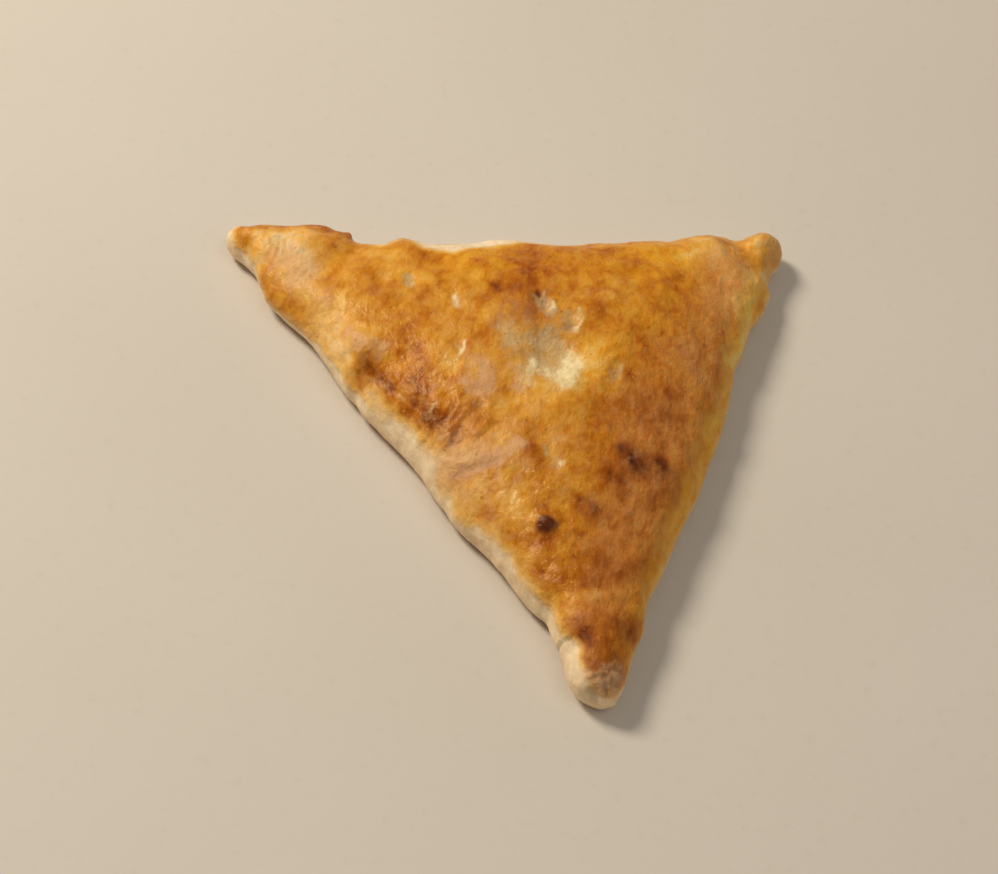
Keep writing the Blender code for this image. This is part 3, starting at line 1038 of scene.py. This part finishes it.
def crust_material():
    """Baked dough: browned by its bake, pale on the band, dry, sunken or scorched in places, with
    painted shade in creases and holes and painted highlights and glints.
    """
    material, tree = new_material("crust")
    place = tree.add("ShaderNodeTexCoord", out="Object")
    turned = tree.add(
        "ShaderNodeVectorRotate",
        {"rotation_type": "Z_AXIS"},
        {"Vector": place, "Angle": GRAIN_TURN},
    )
    drawn = tree.add(
        "ShaderNodeVectorMath",
        {"operation": "MULTIPLY"},
        {0: turned, 1: (1.0, GRAIN_DRAW, 1.0)},
    )
    cloud = tree.noise(place, CLOUD_SIZE, 1.0) - 0.5
    blotch = tree.noise(drawn, BLOTCH_SIZE, 2.0, 3.0, 0.55, 0.2).rise(0.28, 0.72) - 0.5
    mottle = tree.noise(drawn, MOTTLE_SIZE, 3.0, 3.0, 0.6, 0.3).rise(0.25, 0.75) - 0.5
    speck = tree.noise(place, SPECK_SIZE, 4.0) - 0.5
    tint = tree.noise(drawn, BUFF_SIZE, 10.0, warp=0.4).rise(0.42, 0.72)
    beaded = tree.noise(place, BEADED_SIZE, 8.0, 1.0).rise(0.45, 0.62)
    bead_and_glint = tree.dots(place, BEAD_GAP, 0.20, 0.10) * beaded
    dot = tree.dots(place, DOT_GAP, 0.14, 0.07)
    bake = tree.attribute("bake")
    skyward = tree.attribute("skyward")
    glaze = tree.attribute("glaze")
    grainy = tree.attribute("grainy")
    crease = tree.attribute("crease")
    flaky = tree.attribute("flaky")
    crest = tree.attribute("crest") - 0.5

    turn = skyward - tree.attribute("band") + cloud * 0.5 + blotch * 0.08
    browned = turn.rise(*BROWNING)
    level = bake + cloud * (0.12 + glaze * 0.16) + blotch * 0.22
    level = level + mottle * (0.09 + grainy * 0.06) - turn.rise(*EDGE_PALES) * 0.14
    level = level + crest * flaky * -0.22 + tree.attribute("grain") * 0.14
    golden = tree.ramp(level, GLAZED_STOPS)
    tan = tree.ramp(level, MATT_STOPS)
    colour = tree.blend((glaze + blotch * 0.4).rise(0.15, 0.85), tan, golden)
    pallor = (cloud * 2.0 + blotch * 0.5).rise(-0.8, 0.8)
    pale = tree.blend(pallor, PALE_DOUGH, DULL_DOUGH)
    toasted = (cloud * 0.8 + blotch * 0.4 - skyward).rise(*TOASTING)
    pale = tree.blend(toasted * 0.6, pale, TOASTED_DOUGH)
    colour = tree.blend(tint * (0.20 + flaky * 0.40), colour, BUFF)
    colour = tree.blend(tree.attribute("gold"), colour, GOLD_TINGE, "MULTIPLY")
    colour = tree.blend(turn.rise(*EDGE_FADES), BROWNING_EDGE, colour)
    colour = tree.blend(browned, pale, colour)
    # The scorch colour also paints shade into the steam hole and the blunt end's slit.
    scorch_and_shade = (tree.attribute("burn") + mottle * 0.10).rise(0.10, 0.90)
    colour = tree.blend(scorch_and_shade * 0.92, colour, SCORCHED_AND_SHADED)

    raggedness = mottle * 0.4 + blotch * 0.4 + speck * 0.25
    covers = {}
    for name, (ragged, whole, strength, laid) in PATCHES.items():
        mark = tree.attribute(name)
        cover = (mark + raggedness * mark.rise(*RAGGED_FROM) * ragged).rise(*whole)
        colour = tree.blend(cover * strength, colour, laid)
        covers[name] = cover
    # Painted glints: the bead tops are lightened.
    colour = tree.blend(bead_and_glint * grainy * 0.30, colour, PAINTED_GLINTS)
    colour = tree.blend(dot * browned * 0.35, colour, BROWN_DOTS)
    value = 1.0 + blotch * 0.08 + mottle * 0.20 + speck * 0.24 * (0.4 + grainy)
    # Painted shade: the colour is darkened along the creases.
    colour = tree.blend(1.0, colour, value - crease * 0.55, "MULTIPLY")

    roughness = 0.56 - glaze * 0.20 + covers["dry"] * 0.15 + mottle * 0.15
    pores = tree.noise(place, PORE_SIZE, 5.0)
    rough_skin = tree.noise(place, ROUGH_SIZE, 6.0)
    wrinkles = tree.noise(drawn, WRINKLE_SIZE, 9.0, warp=0.6)
    height = wrinkles * 1.2 + rough_skin * 0.5 + pores * grainy * 0.2
    height = (height + bead_and_glint * grainy * 0.15) * (0.35 + browned * 0.65)
    bump = tree.add(
        "ShaderNodeBump",
        None,
        {"Strength": BUMP_STRENGTH, "Distance": BUMP_DEPTH, "Height": height},
    )
    sockets = {
        "Base Color": colour,
        "Roughness": roughness,
        "IOR": 1.36,
        "Specular IOR Level": 0.40,
        "Specular Tint": (1.0, 0.80, 0.50, 1.0),
        "Subsurface Weight": 0.08,
        "Subsurface Radius": (1.0, 0.45, 0.18),
        "Subsurface Scale": 2.0 * MM,
        "Normal": bump,
    }
    shader = tree.add("ShaderNodeBsdfPrincipled", None, sockets)
    tree.add("ShaderNodeOutputMaterial", None, {"Surface": shader})
    return material


FLOOR_TONES = (tone(216, 204, 187), tone(208, 195, 177))
FLOOR_FLECKS = tone(194, 181, 163)
FLOOR_CLOUD_SIZE = 120 * MM
FLOOR_FLECK_SIZE = 4 * MM
FLOOR_BUMP_DEPTH = 0.2 * MM
FLOOR_BUMP_STRENGTH = 0.1


def floor_material():
    """A pale, faintly flecked worktop."""
    material, tree = new_material("floor")
    place = tree.add("ShaderNodeTexCoord", out="Object")
    cloud = tree.noise(place, FLOOR_CLOUD_SIZE, 1.0, 3.0)
    fleck = tree.noise(place, FLOOR_FLECK_SIZE, 2.0)
    colour = tree.blend(cloud, *FLOOR_TONES)
    colour = tree.blend(fleck.rise(0.55, 0.8) * 0.25, colour, FLOOR_FLECKS)
    bump = tree.add(
        "ShaderNodeBump",
        None,
        {"Strength": FLOOR_BUMP_STRENGTH, "Distance": FLOOR_BUMP_DEPTH, "Height": fleck},
    )
    sockets = {"Base Color": colour, "Roughness": 0.75, "Normal": bump}
    shader = tree.add("ShaderNodeBsdfPrincipled", None, sockets)
    tree.add("ShaderNodeOutputMaterial", None, {"Surface": shader})
    return material


# --- Stage -------------------------------------------------------------------
def make_floor():
    shape = bmesh.new()
    bmesh.ops.create_grid(shape, x_segments=4, y_segments=4, size=FLOOR_REACH)
    for vert in shape.verts:
        vert.co.z = LOW.z - FLOOR_GAP
    mesh = bpy.data.meshes.new("floor")
    shape.to_mesh(mesh)
    shape.free()
    mesh.materials.append(floor_material())
    floor = bpy.data.objects.new("floor", mesh)
    bpy.context.scene.collection.objects.link(floor)
    return floor


def direction(azimuth, elevation):
    """The way from the pie to something seen at that azimuth and elevation, in degrees."""
    a, e = math.radians(azimuth), math.radians(elevation)
    return Vector((math.sin(a) * math.cos(e), -math.cos(a) * math.cos(e), math.sin(e)))


def make_light(name, azimuth, elevation, distance, size, power, colour):
    lamp = bpy.data.lights.new(name, "AREA")
    lamp.shape = "DISK"
    lamp.size = size
    lamp.energy = power
    lamp.color = colour
    light = bpy.data.objects.new(name, lamp)
    towards = direction(azimuth, elevation)
    light.location = MIDDLE + towards * distance
    light.rotation_mode = "QUATERNION"
    light.rotation_quaternion = towards.to_track_quat("Z", "Y")
    bpy.context.scene.collection.objects.link(light)


def make_camera():
    lens = bpy.data.cameras.new("camera")
    lens.lens = LENS
    lens.sensor_width = SENSOR
    lens.clip_start = NEAR
    camera = bpy.data.objects.new("camera", lens)
    back = direction(VIEW_AZIMUTH, VIEW_ELEVATION)
    camera.location = MIDDLE + VIEW_AIM + back * VIEW_DISTANCE
    camera.rotation_mode = "QUATERNION"
    roll = Quaternion((0, 0, 1), math.radians(VIEW_ROLL))
    camera.rotation_quaternion = back.to_track_quat("Z", "Y") @ roll
    bpy.context.scene.collection.objects.link(camera)
    bpy.context.scene.camera = camera


def light_scene():
    world = bpy.data.worlds.new("studio")
    world.use_nodes = True
    background = world.node_tree.nodes["Background"]
    background.inputs["Color"].default_value = SKY
    background.inputs["Strength"].default_value = SKY_STRENGTH
    bpy.context.scene.world = world
    make_light("key", **KEY)
    make_light("fill", **FILL)
    view = bpy.context.scene.view_settings
    view.view_transform = "Standard"
    view.look = "None"


# --- The whole ---------------------------------------------------------------
def make_pie():
    material = crust_material()
    mesh = even_mesh("pie")
    mould(mesh)
    mesh = relieved(mesh, material)
    unfold(mesh)
    fit_inside(mesh)
    mesh.name = "pie_crust"
    mesh.shade_smooth()
    pie = bpy.data.objects.new("pie_crust", mesh)
    bpy.context.scene.collection.objects.link(pie)
    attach(pie, "root")
    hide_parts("pie")


make_camera()
light_scene()
make_floor()
make_pie()
